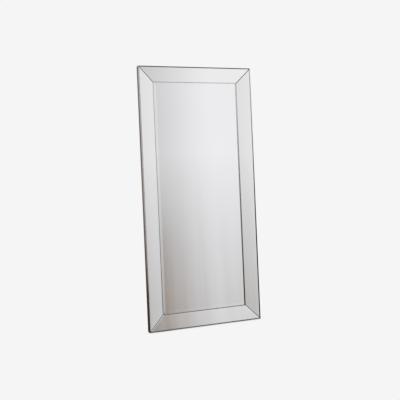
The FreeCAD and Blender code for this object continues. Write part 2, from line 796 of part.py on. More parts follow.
def ring_path(sketch):
    """The centre line of a D-ring: a straight bar, two legs and a half-round bow."""
    half, leg, bend = size("ring_half_width"), size("ring_leg"), size("ring_bend")
    upright = Vector(0, 0, 1)

    def arc(x, z, radius, start, end):
        circle = Part.Circle(Vector(x, z, 0), upright, radius)
        return sketch.addGeometry(Part.ArcOfCircle(circle, start, end), False)

    bar = sketch.addGeometry(Part.LineSegment(Vector(half - bend, 0, 0), Vector(bend - half, 0, 0)), False)
    left_bend = arc(bend - half, -bend, bend, math.pi / 2, math.pi)
    left_leg = sketch.addGeometry(Part.LineSegment(Vector(-half, -bend, 0), Vector(-half, -leg, 0)), False)
    bow = arc(0, -leg, half, math.pi, 2 * math.pi)
    right_leg = sketch.addGeometry(Part.LineSegment(Vector(half, -leg, 0), Vector(half, -bend, 0)), False)
    right_bend = arc(half - bend, -bend, bend, 0, math.pi / 2)
    loop = [bar, left_bend, left_leg, bow, right_leg, right_bend]
    for first, second in zip(loop, loop[1:] + loop[:1]):
        sketch.addConstraint(Sketcher.Constraint("Tangent", first, 2, second, 1))
    pin_point(sketch, left_bend, 3, "dims.ring_bend - dims.ring_half_width", "-dims.ring_bend")
    pin_point(sketch, right_bend, 3, "dims.ring_half_width - dims.ring_bend", "-dims.ring_bend")
    pin_point(sketch, bow, 3, "0", "-dims.ring_leg")
    pin_value(sketch, "Radius", "dims.ring_bend", left_bend)
    pin_value(sketch, "Radius", "dims.ring_bend", right_bend)
    pin_value(sketch, "Radius", "dims.ring_half_width", bow)


def d_ring(label, spot):
    """A wire D-ring that hangs from its strap, resting against it."""
    body = new_body(label)
    path = new_sketch(body, "XZ_Plane", label + "_path")
    ring_path(path)
    wire = new_sketch(body, "YZ_Plane", label + "_wire")
    add_circle(wire, "0", "0", "dims.ring_wire_radius")
    doc.recompute()
    pipe = body.newObject("PartDesign::AdditivePipe", label + "_pipe")
    pipe.Profile = wire
    pipe.Spine = path
    doc.recompute()
    pivot = Placement(Vector(0, size("loop_radius"), 0), Rotation(Vector(1, 0, 0), size("ring_rest_angle")))
    body.Placement = spot.multiply(pivot)
    finish(body)


def hangers():
    """Two hangers for hanging upright and two for hanging lengthways, with their screws."""
    spots = []
    for side in ("left", "right", "top", "bottom"):
        name = ("upright_" if side in ("left", "right") else "lengthways_") + side
        spot = hanger_placement(side)
        hanger_strap("hanger_strap_" + name, spot)
        d_ring("d_ring_" + name, spot)
        for hole in ("strap_first_hole", "strap_second_hole"):
            local = Placement(Vector(0, size("strap_double"), -size(hole)), Rotation())
            spots.append(spot.multiply(local))
    repeat("hanger_screws", screw("hanger_screw"), spots)


def write_parts():
    """Checks every object and every piece, then writes one file for each piece."""
    doc.recompute()
    failed = [o.Name for o in doc.Objects if "Invalid" in o.State or "Error" in o.State]
    if failed:
        raise RuntimeError(f"these objects failed: {failed}")
    for piece in pieces:
        if piece.Shape.isNull() or not piece.Shape.isValid() or not piece.Shape.Solids:
            raise RuntimeError(f"{piece.Label} has no valid solid")
    os.makedirs("parts", exist_ok=True)
    for piece in pieces:
        piece.Shape.exportStep(os.path.join("parts", piece.Label + ".step"))
        print(piece.Label, len(piece.Shape.Solids), round(piece.Shape.Volume))


for side_name in SIDES:
    frame_member(side_name)
    outer_bead(side_name)
    inner_bead(side_name)
    mirror_strip(side_name)
    strip_tape(side_name)
mirror_plate()
backing()
setting_blocks()
board_screws()
corner_braces()
wall_bumpers()
floor_pads()
hangers()
write_parts()
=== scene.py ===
"""Finish, light and camera for the full-length mirror with a mirrored-glass border.

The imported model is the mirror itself, in metres, standing upright on the floor with its glass towards -Y.
This script gives every surface its finish, models the screws in full, and sets up a pale studio.
"""

import math

import bmesh
import bpy
from mathutils import Matrix, Vector


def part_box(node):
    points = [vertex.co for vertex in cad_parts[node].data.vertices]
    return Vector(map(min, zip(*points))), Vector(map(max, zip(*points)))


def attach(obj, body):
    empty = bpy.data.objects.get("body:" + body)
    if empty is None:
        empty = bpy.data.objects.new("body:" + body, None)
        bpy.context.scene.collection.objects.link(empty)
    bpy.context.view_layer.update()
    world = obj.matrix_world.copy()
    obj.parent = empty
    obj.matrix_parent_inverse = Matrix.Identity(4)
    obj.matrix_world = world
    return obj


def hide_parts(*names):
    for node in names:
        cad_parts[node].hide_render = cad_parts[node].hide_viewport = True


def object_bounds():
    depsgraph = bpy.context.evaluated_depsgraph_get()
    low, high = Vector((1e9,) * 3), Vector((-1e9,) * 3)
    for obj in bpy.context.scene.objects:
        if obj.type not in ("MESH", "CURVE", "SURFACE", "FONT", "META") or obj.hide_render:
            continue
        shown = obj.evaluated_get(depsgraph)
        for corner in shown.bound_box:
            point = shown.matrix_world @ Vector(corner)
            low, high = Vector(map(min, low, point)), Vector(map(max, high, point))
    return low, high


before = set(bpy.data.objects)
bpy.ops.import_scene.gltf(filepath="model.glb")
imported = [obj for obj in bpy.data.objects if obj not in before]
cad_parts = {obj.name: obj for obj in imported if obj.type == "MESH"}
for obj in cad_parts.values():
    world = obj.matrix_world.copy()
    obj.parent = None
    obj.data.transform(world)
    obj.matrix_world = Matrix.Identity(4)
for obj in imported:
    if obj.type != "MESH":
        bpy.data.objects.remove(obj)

cad_low, cad_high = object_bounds()

# Places of the whole mirror, taken from the frame
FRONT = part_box("outer_bead_bottom")[0].y
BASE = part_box("outer_bead_bottom")[0].z
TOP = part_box("outer_bead_top")[1].z
SIDES = ("bottom", "left", "top", "right")
ROOT = "mirror"
MITRE_ANGLE = math.pi / 4

# Camera, fitted to the photograph's outline: its place is measured from the foot of the frame's front
PHOTO_SIZE = 400
FOCAL_PIXELS = 627
AXIS_ROW = 184
SENSOR = 36
CAMERA_PLACE = Vector((-1.434, -3.728, 0.922))
CAMERA_LOOK = Vector((0.3575, 0.9339, -0.0044))
CAMERA_UP = Vector((0.0421, -0.0114, 0.9990))

# Studio: the grey of the surroundings, the floor, the reach of its contact shade, its colour in the narrow
# gap under the frame, and how open the floor is in the gap, at its mouth and clear of the frame
PALE = 0.913
FLOOR_SIZE = 60
CONTACT_REACH = 0.08
CONTACT_SHADE = 0.85
GAP_SHADE = (0.42, 0.38, 0.35)
OPENNESS = (0.0, 0.25, 0.9)

# Soft boxes: where most of them point
LIGHT_TARGET = (0, 0, 0.85)

# Front shade: how far in front of the frame its screen stands and how far the screen reaches
FRONT_DISTANCE = 0.85
FRONT_HALF_WIDTH = 6.0
FRONT_LOW = -8.0
FRONT_HIGH = 3.5

# Parts of the front shade: how dark each is, and the places between which it fades or comes in
LEFT_SHADE = 0.30
LEFT_FADE = (-0.15, 0.50)
LEFT_RISE = (-2.2, -0.6)
LOW_SHADE = 0.37
LOW_FADE = (-0.05, 1.15)
LOW_RIGHT_SHARE = 0.86
LOW_RIGHT_FADE = (0.15, 0.45)
CORNER_SHADE = 0.09
CORNER_FADE_ACROSS = (0.0, 0.2)
CORNER_FADE_UP = (0.4, 0.9)
STREAK_STRETCH = (8, 1, 0.4)
STREAK_SHARES = (0.85, 1.15)

# Ends of the front shade, by axis: from where it is gone to where it is full
FRONT_ENDS = {"X": [(-5.5, -1.5), (2.9, 1.2)], "Z": [(-4.0, -0.6), (3.4, 1.8)]}

# Colour of the front shade: neutral high up and warm low down, with less of the warmth to either side
NEUTRAL_DARK = (0.05, 0.05, 0.05)
WARM_DARK = (0.14, 0.08, 0.03)
WARM_RISE = (1.2, 0.0)
WARM_RIGHT_SHARE = 0.25
WARM_RIGHT_RISE = (0.45, 0.1)
WARM_LEFT_SHARE = 0.3
WARM_LEFT_RISE = (-1.2, -0.25)

# Side shade: how far off the left side it stands, how far it reaches, where it comes in, and its colour
SIDE_DISTANCE = 0.35
SIDE_DEPTH = (0.0, 3.5)
SIDE_HEIGHT = (-0.5, 1.9)
SIDE_RISE = (0.6, 0.0)
SIDE_DARK = (0.025, 0.016, 0.01, 1)

# Back shade: how far behind the mirror it stands, how far it reaches, how dark it is low down and high up,
# how much its clouds change that, and its colour
BACK_DISTANCE = 1.6
BACK_HALF_WIDTH = 5.0
BACK_LOW = -4.0
BACK_HIGH = 5.0
BACK_SHADES = (0.65, 0.15)
BACK_FADE = (0.2, 2.4)
BACK_STRETCH = (1.6, 1, 0.7)
BACK_CLOUD_SPAN = (0.38, 0.62)
BACK_CLOUD_SHARES = (0.45, 1.25)
BACK_DARK = (0.06, 0.06, 0.065, 1)

# Screws: points round each ring, the turn from one screw to the next, and the angle that stays sharp
SCREW_POINTS = 32
SCREW_TURN = 0.65
SCREW_CREASE = 0.6

# Rings of a screw from tip to recess: shares of the head's radius, and of the shank's length or the head's
# height
SHANK_SHARES = [(0.06, 1), (0.5, 0.86), (0.5, 0)]
HEAD_SHARES = [(1, 0), (1, 0.3), (0.95, 0.56), (0.84, 0.79), (0.68, 0.94), (0.54, 1)]
RECESS_SHARES = [(0.44, 1), (0.34, 0.45), (0.2, 0.3)]

# Plain screws of the frame: how close points that count as one lie, and the share of the head's radius
# beyond which a point belongs to its rim
WELD_DISTANCE = 1e-6
RIM_SHARE = 0.95

# Angles of a cross recess: from arm to arm, and the least that counts as off an arm
QUARTER_TURN = math.pi / 2
LEAST_ANGLE = 1e-6

# Glass: how strongly a wedge of silvered glass turns a reflection, against its own slope
WEDGE_TURN = 1.0

# The Y of a face's normal below which the face looks forwards
FORWARDS = -0.5

# Faces of the glass, by the cosine to its main face: how far the silver of the strips and of the bevelled
# plate spreads, how softly it ends, and where the painted back begins
STRIP_SPREAD = 0.995
PLATE_SPREAD = 0.985
SPREAD_SOFTNESS = 0.001
BACK_SPREAD = (-0.9, -0.91)

# Dark lines in the strips' silver: where the ground edges show beside the mitres, and a painted shade line
# down the right-hand edge; how wide, how dark and where the painted shade line fades out
MITRE_LINE = 0.0021
RIGHT_SHADE_WIDTH = 0.0030
LINE_SOFTNESS = 0.0004
LINE_GREY = 0.18
RIGHT_SHADE_FADE = (1.1, 0.5)

# Polished arris of the top and bottom strips beside their mitred ends: its width and how far it turns up
ARRIS_WIDTH = 0.0035
ARRIS_TURN = Vector((0, 0, 0.4))

# Ground edges of the glass, painted pale on the left strip as if lit from the left and dark elsewhere, the
# paint on its back, and how much rougher both are than the silvered face
PAINTED_LIT_EDGE = (0.45, 0.46, 0.45)
DARK_EDGE = (0.012, 0.015, 0.013)
BACK_PAINT = (0.16, 0.16, 0.17)
EDGE_ROUGHNESS = 0.5

# Tint of the silver behind the plate, and of the silver behind each strip, which is painted lighter or darker
# side by side as shade and reflection; and how much paler its clouds are
PLATE_SILVER = (0.912, 0.914, 0.932)
STRIP_SILVER_AND_SHADE = {
    "bottom": (0.923, 0.927, 0.936),
    "left": (0.841, 0.839, 0.847),
    "top": (0.911, 0.905, 0.913),
    "right": (0.864, 0.867, 0.870),
}
SILVER_CLOUD = 1.015
SILVER_CLOUD_SPAN = (0.35, 0.65)

# Film on the glass, as roughness over its noise, and the stretch of the film and of the glass's faint waves
FILM_SPAN = (0.3, 0.75)
FILM_ROUGHNESS = (0.012, 0.03)
FILM_STRETCH = (1, 1, 0.35)
WAVE_STRETCH = (1, 1, 0.6)

# Silver leaf of the beads: its colours by share of the frame's height, with painted shade and reflection in
# them that differ side by side and, where they change, grow darker low down, and a painted brown shadow along
# the foot of the bottom one; then the tone of its rubbed patches, and its roughness
OUTER_LEAF_AND_SHADE = {
    "bottom": [(0.0, (0.085, 0.040, 0.020)), (0.0039, (0.50, 0.48, 0.46))],
    "left": [
        (0.0, (0.12, 0.07, 0.05)),
        (0.14, (0.16, 0.11, 0.08)),
        (0.25, (0.52, 0.51, 0.50)),
        (0.5, (0.62, 0.61, 0.60)),
        (1.0, (0.64, 0.63, 0.62)),
    ],
    "top": [(0.0, (0.19, 0.185, 0.18)), (1.0, (0.19, 0.185, 0.18))],
    "right": [
        (0.0, (0.040, 0.038, 0.035)),
        (0.35, (0.030, 0.029, 0.028)),
        (0.6, (0.13, 0.128, 0.125)),
        (1.0, (0.68, 0.675, 0.67)),
    ],
}
INNER_LEAF_AND_SHADE = {
    "bottom": [(0.0, (0.42, 0.41, 0.40)), (1.0, (0.42, 0.41, 0.40))],
    "left": [(0.05, (0.17, 0.165, 0.16)), (0.5, (0.44, 0.435, 0.43)), (0.9, (0.70, 0.69, 0.68))],
    "top": [(0.0, (0.82, 0.815, 0.81)), (1.0, (0.82, 0.815, 0.81))],
    "right": [(0.05, (0.07, 0.067, 0.065)), (0.5, (0.30, 0.295, 0.29)), (0.9, (0.80, 0.79, 0.78))],
}
LEAF_RUBBED = [(0.3, (0.80, 0.77, 0.74)), (0.55, (1, 1, 1))]
LEAF_ROUGHNESS = (0.28, 0.42)

# Stained wood: scales of its figure and of its pores across and along the grain, its stain, its pores, the
# painted shade that darkens it near the foot by share of the frame's height, and the roughness of its lacquer
FIGURE_SCALES = (14.0, 0.5)
PORE_SCALES = (90.0, 0.8)
WOOD_STAIN = [(0.3, (0.040, 0.018, 0.011)), (0.5, (0.055, 0.026, 0.016)), (0.72, (0.072, 0.037, 0.024))]
PORE_STAIN = (0.020, 0.009, 0.006)
PORE_SPAN = (0.36, 0.46)
PORE_DEPTH = 0.5
FOOT_PAINTED_SHADE = [(0.0, (0.45, 0.28, 0.18)), (0.2, (1, 1, 1))]
LACQUER_ROUGHNESS = (0.42, 0.34)

# Pressed board: its fibres, the shade of its blotches, the scale of its mesh print, and how much the fibres
# add to the print's relief
FIBRE_DARK = (0.115, 0.062, 0.032)
FIBRE_PALE = (0.235, 0.138, 0.076)
BLOTCH_SHADE = 0.8
PRINT_SCALE = 105.0
FIBRE_RELIEF = 0.6

# Plated steel: how dark its clouds are, and the scale of its rolling lines along each axis
STEEL_CLOUD = 0.72
ROLLING_SCALES = (900, 60, 60)

# Rubber: its own grey, that of its bloom, the noise over which one turns into the other, and its roughness
RUBBER_GREY = 0.012
BLOOM_GREY = 0.03
BLOOM_SPAN = (0.35, 0.7)
RUBBER_ROUGHNESS = (0.55, 0.8)

# Foam: the scale of its cells, how dark their middles are, and the distance over which that fades
CELL_SCALE = 1400.0
CELL_SHADE = 0.8
CELL_SPAN = (0.1, 0.6)

# The span in which most of a noise's values lie
NOISE_SPAN = (0.3, 0.7)


# Node helpers


def new_material(name):
    """A material with its node tree and its Principled shader."""
    material = bpy.data.materials.new(name)
    material.use_nodes = True
    tree = material.node_tree
    shader = next(n for n in tree.nodes if n.type == "BSDF_PRINCIPLED")
    return material, tree, shader


def node(tree, kind, **settings):
    """A shader node with its settings."""
    made = tree.nodes.new("ShaderNode" + kind)
    for key, value in settings.items():
        setattr(made, key, value)
    return made


def connect(tree, value, socket):
    """Links a socket to another, or sets its value."""
    if isinstance(value, bpy.types.NodeSocket):
        tree.links.new(value, socket)
    else:
        socket.default_value = value


def ramp(tree, source, stops):
    """A colour ramp over a value, with stops of position and colour."""
    made = node(tree, "ValToRGB")
    elements = made.color_ramp.elements
    while len(elements) < len(stops):
        elements.new(position=0.5)
    for element, (position, colour) in zip(elements, stops):
        element.position = position
        element.color = (*colour, 1)
    tree.links.new(source, made.inputs["Fac"])
    return made.outputs["Color"]


def shades(tree, source, first, last, span=NOISE_SPAN):
    """A colour that turns from the first into the last while a value crosses its span."""
    return ramp(tree, source, list(zip(span, (first, last))))


def grey(value):
    """A neutral colour."""
    return (value, value, value)


def scaled(colour, factor):
    """A colour made darker or paler by a factor."""
    return tuple(min(1.0, factor * part) for part in colour)


def place_of(tree, scale=(1, 1, 1)):
    """Object coordinates, stretched by a scale for each axis."""
    coordinates = node(tree, "TexCoord")
    mapping = node(tree, "Mapping")
    mapping.inputs["Scale"].default_value = scale
    tree.links.new(coordinates.outputs["Object"], mapping.inputs["Vector"])
    return mapping.outputs["Vector"]


def axis_of(tree, axis):
    """One of the object coordinates."""
    split = node(tree, "SeparateXYZ")
    tree.links.new(place_of(tree), split.inputs["Vector"])
    return split.outputs[axis]


def noise(tree, place, scale, detail=4.0, roughness=0.55):
    """A noise value over a place."""
    made = node(tree, "TexNoise")
    made.inputs["Scale"].default_value = scale
    made.inputs["Detail"].default_value = detail
    made.inputs["Roughness"].default_value = roughness
    tree.links.new(place, made.inputs["Vector"])
    return made.outputs["Fac"]


def calculate(tree, operation, *values):
    """Arithmetic on values, each a socket or a number."""
    made = node(tree, "Math", operation=operation)
    for socket, value in zip(made.inputs, values):
        connect(tree, value, socket)
    return made.outputs["Value"]


def product(tree, *values):
    """The product of several values."""
    total = values[0]
    for value in values[1:]:
        total = calculate(tree, "MULTIPLY", total, value)
    return total


def map_range(tree, value, start, end, smooth=False):
    """Maps a value from one range onto another, each a pair."""
    made = node(tree, "MapRange", interpolation_type="SMOOTHSTEP" if smooth else "LINEAR")
    made.inputs["From Min"].default_value, made.inputs["From Max"].default_value = start
    made.inputs["To Min"].default_value, made.inputs["To Max"].default_value = end
    tree.links.new(value, made.inputs["Value"])
    return made.outputs["Result"]


def height_share(tree):
    """How high a point lies, as a share of the frame's height."""
    return map_range(tree, axis_of(tree, "Z"), (BASE, TOP), (0, 1))


def mix_colours(tree, factor, first, second, blend="MIX"):
    """A blend of two colours, each a socket or a colour."""
    made = node(tree, "Mix", data_type="RGBA", blend_type=blend)
    connect(tree, factor, made.inputs["Factor"])
    for socket, value in ((made.inputs[6], first), (made.inputs[7], second)):
        connect(tree, (*value, 1) if isinstance(value, tuple) else value, socket)
    return made.outputs[2]


def mix_vectors(tree, factor, first, second):
    """A blend of two vectors, each a socket or a vector."""
    made = node(tree, "Mix", data_type="VECTOR")
    connect(tree, factor, made.inputs["Factor"])
    connect(tree, first, made.inputs[4])
    connect(tree, second, made.inputs[5])
    return made.outputs[1]


def add_bump(tree, shader, height, strength, distance, normal=None):
    """Bump from a height value, over the surface's own normal or the one given."""
    bump = node(tree, "Bump")
    bump.inputs["Strength"].default_value = strength
    bump.inputs["Distance"].default_value = distance
    tree.links.new(height, bump.inputs["Height"])
    if normal is not None:
        tree.links.new(normal, bump.inputs["Normal"])
    tree.links.new(bump.outputs["Normal"], shader.inputs["Normal"])


def dress(node_name, material):
    """Gives a CAD node its finish."""
    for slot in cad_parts[node_name].material_slots:
        slot.material = material


def nodes_named(*stems):
    """The CAD nodes whose names start with one of the stems."""
    return [name for name in sorted(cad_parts) if name.startswith(stems)]


# Finishes


def front_normal(node_name):
    """The outward normal of a glass piece's main face, the largest that looks forwards."""
    faces = [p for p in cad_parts[node_name].data.polygons if p.normal.y < FORWARDS]
    return max(faces, key=lambda p: p.area).normal.copy()


def wedge_normal(tree, own, facing, silvered):
    """The normal of a silvered face behind a sloping front: glass turns the reflection the other way."""
    turned = node(tree, "VectorMath", operation="MULTIPLY_ADD")
    tree.links.new(own, turned.inputs[0])
    turned.inputs[1].default_value = (-WEDGE_TURN, -WEDGE_TURN, -WEDGE_TURN)
    turned.inputs[2].default_value = facing * (1 + WEDGE_TURN)
    unit = node(tree, "VectorMath", operation="NORMALIZE")
    tree.links.new(turned.outputs["Vector"], unit.inputs[0])
    return mix_vectors(tree, silvered, own, unit.outputs["Vector"])


def strip_distances(tree):
    """How far a point of the border is from its left or right outer edge, and from the nearest mitre."""
    outer_low, outer_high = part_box("mirror_strip_right")
    x, z = axis_of(tree, "X"), axis_of(tree, "Z")
    from_side = calculate(tree, "SUBTRACT", outer_high.x, calculate(tree, "ABSOLUTE", x))
    from_foot = calculate(tree, "SUBTRACT", z, outer_low.z)
    from_head = calculate(tree, "SUBTRACT", outer_high.z, z)
    from_end = calculate(tree, "MINIMUM", from_foot, from_head)
    apart = calculate(tree, "ABSOLUTE", calculate(tree, "SUBTRACT", from_side, from_end))
    return from_side, calculate(tree, "MULTIPLY", apart, math.cos(MITRE_ANGLE))


def joint_lines_and_shade(tree, side):
    """How dark the silver of a strip is beside its mitred ends and, on the right, where a painted shade line
    runs down its outer edge, stronger low down.
    """
    from_side, from_mitre = strip_distances(tree)
    dark = map_range(tree, from_mitre, (MITRE_LINE, MITRE_LINE + LINE_SOFTNESS), (1, 0))
    if side == "right":
        beside = map_range(tree, from_side, (RIGHT_SHADE_WIDTH, RIGHT_SHADE_WIDTH + LINE_SOFTNESS), (1, 0))
        fade = map_range(tree, axis_of(tree, "Z"), RIGHT_SHADE_FADE, (0, 1), smooth=True)
        dark = calculate(tree, "MAXIMUM", dark, product(tree, beside, fade))
    return dark


def arris_normal(tree, normal, facing):
    """The normal of a strip whose narrow polished arris, beside each mitre, turns up to the light."""
    _, from_mitre = strip_distances(tree)
    reach = MITRE_LINE + ARRIS_WIDTH
    polished = map_range(tree, from_mitre, (reach, reach + LINE_SOFTNESS), (1, 0))
    return mix_vectors(tree, polished, normal, (facing + ARRIS_TURN).normalized())


def mirror_glass(name, facing, spread, silver, side=None):
    """Silvered glass: a mirror where the surface faces within the spread of the given direction, ground
    grey-green glass at its edges, and grey paint on its back. A strip of the border names its side, which
    sets its painted light and shade: pale edges on the left strip, a dark line down the right one."""
    material, tree, shader = new_material(name)
    own = node(tree, "NewGeometry").outputs["True Normal"]
    towards = node(tree, "VectorMath", operation="DOT_PRODUCT")
    towards.inputs[1].default_value = facing
    tree.links.new(own, towards.inputs[0])
    silvered = map_range(tree, towards.outputs["Value"], (spread - SPREAD_SOFTNESS, spread), (0, 1))
    behind = map_range(tree, towards.outputs["Value"], BACK_SPREAD, (0, 1))
    cloud = noise(tree, place_of(tree), scale=3.0)
    bright = shades(tree, cloud, silver, scaled(silver, SILVER_CLOUD), SILVER_CLOUD_SPAN)
    if side:
        # Dark joint lines beside the mitres, and painted shade down the right strip's outer edge
        bright = mix_colours(tree, joint_lines_and_shade(tree, side), bright, grey(LINE_GREY))
    # Painted light: the left strip's ground edges are pale as if lit from the left
    edge = mix_colours(tree, behind, PAINTED_LIT_EDGE if side == "left" else DARK_EDGE, BACK_PAINT)
    tree.links.new(mix_colours(tree, silvered, edge, bright), shader.inputs["Base Color"])
    tree.links.new(silvered, shader.inputs["Metallic"])
    shader.inputs["Specular IOR Level"].default_value = 0.2
    film = noise(tree, place_of(tree, FILM_STRETCH), scale=9.0, detail=6.0)
    polish = map_range(tree, film, FILM_SPAN, FILM_ROUGHNESS)
    ground = calculate(tree, "SUBTRACT", 1.0, silvered)
    roughness = calculate(tree, "MULTIPLY_ADD", ground, EDGE_ROUGHNESS, polish)
    tree.links.new(roughness, shader.inputs["Roughness"])
    wave = noise(tree, place_of(tree, WAVE_STRETCH), scale=2.2, detail=1.0)
    normal = wedge_normal(tree, own, facing, silvered)
    if side in ("top", "bottom"):
        normal = arris_normal(tree, normal, facing)
    add_bump(tree, shader, wave, strength=0.05, distance=0.004, normal=normal)
    return material


def along_grain(scales, along):
    """A scale for each axis, from one across and one along the grain."""
    across_grain, with_grain = scales
    return [with_grain if axis == along else across_grain for axis in range(3)]


def stained_wood(name, along):
    """Dark brown stained wood with its grain along an axis, under a satin lacquer, with painted shade near
    the foot.
    """
    material, tree, shader = new_material(name)
    figure_place = place_of(tree, along_grain(FIGURE_SCALES, along))
    figure = noise(tree, figure_place, scale=5.0, detail=6.0, roughness=0.6)
    pores = noise(tree, place_of(tree, along_grain(PORE_SCALES, along)), scale=7.0, detail=3.0)
    stain = ramp(tree, figure, WOOD_STAIN)
    dark_pores = map_range(tree, pores, PORE_SPAN, (PORE_DEPTH, 0))
    colour = mix_colours(tree, dark_pores, stain, PORE_STAIN)
    # Painted shade: the wood darkens towards the foot
    foot_shade = ramp(tree, height_share(tree), FOOT_PAINTED_SHADE)
    tree.links.new(mix_colours(tree, 1.0, colour, foot_shade, "MULTIPLY"), shader.inputs["Base Color"])
    tree.links.new(map_range(tree, pores, NOISE_SPAN, LACQUER_ROUGHNESS), shader.inputs["Roughness"])
    shader.inputs["Specular IOR Level"].default_value = 0.35
    shader.inputs["Coat Weight"].default_value = 0.08
    shader.inputs["Coat Roughness"].default_value = 0.25
    add_bump(tree, shader, pores, strength=0.05, distance=0.0004)
    return material


def silver_leaf(name, stops):
    """Silver leaf with rubbed patches, whose tone changes with its height as painted shade and reflection:
    stops of height share and colour.
    """
    material, tree, shader = new_material(name)
    place = place_of(tree)
    # Painted shade and reflection: the leaf's tone, set by height for each bead
    painted_height_shade = ramp(tree, height_share(tree), stops)
    patina = noise(tree, place, scale=26.0, detail=6.0, roughness=0.65)
    speck = noise(tree, place, scale=420.0, detail=2.0)
    rubbed = ramp(tree, patina, LEAF_RUBBED)
    tree.links.new(mix_colours(tree, 1.0, painted_height_shade, rubbed, "MULTIPLY"), shader.inputs["Base Color"])
    shader.inputs["Metallic"].default_value = 1.0
    tree.links.new(map_range(tree, speck, NOISE_SPAN, LEAF_ROUGHNESS), shader.inputs["Roughness"])
    add_bump(tree, shader, speck, strength=0.06, distance=0.0002)
    return material


def hardboard():
    """Pressed brown fibre board, with the mesh print that its rough side carries."""
    material, tree, shader = new_material("hardboard_fibre")
    place = place_of(tree)
    fibres = noise(tree, place, scale=260.0, detail=5.0, roughness=0.7)
    blotch = noise(tree, place, scale=9.0, detail=3.0)
    base = shades(tree, fibres, FIBRE_DARK, FIBRE_PALE)
    shade = shades(tree, blotch, grey(BLOTCH_SHADE), grey(1.0))
    tree.links.new(mix_colours(tree, 1.0, base, shade, "MULTIPLY"), shader.inputs["Base Color"])
    shader.inputs["Roughness"].default_value = 0.78
    prints = []
    for axis in ("X", "Z"):
        wave = node(tree, "TexWave", wave_type="BANDS", bands_direction=axis)
        wave.inputs["Scale"].default_value = PRINT_SCALE
        tree.links.new(place, wave.inputs["Vector"])
        prints.append(wave.outputs["Fac"])
    relief = calculate(tree, "MULTIPLY_ADD", fibres, FIBRE_RELIEF, product(tree, *prints))
    add_bump(tree, shader, relief, strength=0.35, distance=0.0006)
    return material


def plated_steel(name, tint, smooth, rough, cloud_scale):
    """Plated steel: bright metal with a cloudy plate and fine rolling lines."""
    material, tree, shader = new_material(name)
    cloud = noise(tree, place_of(tree), cloud_scale, detail=5.0, roughness=0.6)
    lines = noise(tree, place_of(tree, ROLLING_SCALES), scale=1.0, detail=2.0)
    tree.links.new(shades(tree, cloud, scaled(tint, STEEL_CLOUD), tint), shader.inputs["Base Color"])
    shader.inputs["Metallic"].default_value = 1.0
    tree.links.new(map_range(tree, cloud, NOISE_SPAN, (rough, smooth)), shader.inputs["Roughness"])
    add_bump(tree, shader, lines, strength=0.08, distance=0.0001)
    return material


def rubber():
    """Black moulded rubber with a dusty bloom."""
    material, tree, shader = new_material("black_rubber")
    place = place_of(tree)
    grain = noise(tree, place, scale=900.0, detail=3.0)
    bloom = noise(tree, place, scale=60.0, detail=4.0)
    dusty = shades(tree, bloom, grey(RUBBER_GREY), grey(BLOOM_GREY), BLOOM_SPAN)
    tree.links.new(dusty, shader.inputs["Base Color"])
    tree.links.new(map_range(tree, bloom, NOISE_SPAN, RUBBER_ROUGHNESS), shader.inputs["Roughness"])
    add_bump(tree, shader, grain, strength=0.25, distance=0.0002)
    return material


def foam(name, colour):
    """Closed-cell foam: pale, with fine cells."""
    material, tree, shader = new_material(name)
    cells = node(tree, "TexVoronoi")
    cells.inputs["Scale"].default_value = CELL_SCALE
    tree.links.new(place_of(tree), cells.inputs["Vector"])
    from_middle = cells.outputs["Distance"]
    pitted = shades(tree, from_middle, scaled(colour, CELL_SHADE), colour, CELL_SPAN)
    tree.links.new(pitted, shader.inputs["Base Color"])
    shader.inputs["Roughness"].default_value = 0.85
    add_bump(tree, shader, from_middle, strength=0.3, distance=0.0003)
    return material


def finish_border(side):
    """Finishes of one side of the border: its strip, its wood and its two beads."""
    strip = "mirror_strip_" + side
    facing = front_normal(strip)
    # Each strip's silver is painted lighter or darker by its side as shade and reflection
    dress(strip, mirror_glass("silvered_" + strip, facing, STRIP_SPREAD, STRIP_SILVER_AND_SHADE[side], side))
    along = 0 if side in ("top", "bottom") else 2
    dress("frame_" + side, stained_wood("stained_wood_" + side, along))
    # Each bead's leaf carries its own painted shade and reflection
    dress("outer_bead_" + side, silver_leaf("outer_leaf_" + side, OUTER_LEAF_AND_SHADE[side]))
    dress("inner_bead_" + side, silver_leaf("inner_leaf_" + side, INNER_LEAF_AND_SHADE[side]))


def finish_nodes():
    """Finishes of all the CAD nodes."""
    for side in SIDES:
        finish_border(side)
    plate_front = front_normal("mirror_plate")
    dress("mirror_plate", mirror_glass("silvered_plate", plate_front, PLATE_SPREAD, PLATE_SILVER))
    tape = foam("white_foam_tape", colour=(0.8, 0.8, 0.78))
    for name in nodes_named("strip_tape"):
        dress(name, tape)
    dress("packing_sheet", foam("packing_foam", colour=(0.75, 0.74, 0.71)))
    dress("backing_board", hardboard())
    zinc = plated_steel("zinc_plate", tint=(0.66, 0.68, 0.70), smooth=0.24, rough=0.42, cloud_scale=120.0)
    for name in [*nodes_named("hanger_strap"), "corner_braces"]:
        dress(name, zinc)
    nickel = plated_steel("nickel_plate", tint=(0.62, 0.60, 0.57), smooth=0.12, rough=0.22, cloud_scale=160.0)
    for name in nodes_named("d_ring"):
        dress(name, nickel)
    passivated = plated_steel(
        "passivated_zinc", tint=(0.72, 0.66, 0.46), smooth=0.26, rough=0.4, cloud_scale=500.0
    )
    for name in nodes_named("backing_screws", "brace_screws", "hanger_screws"):
        dress(name, passivated)
        model_screws(name, passivated)
    black = rubber()
    for name in ("floor_pads", "wall_bumpers", "setting_blocks"):
        dress(name, black)


# Screws


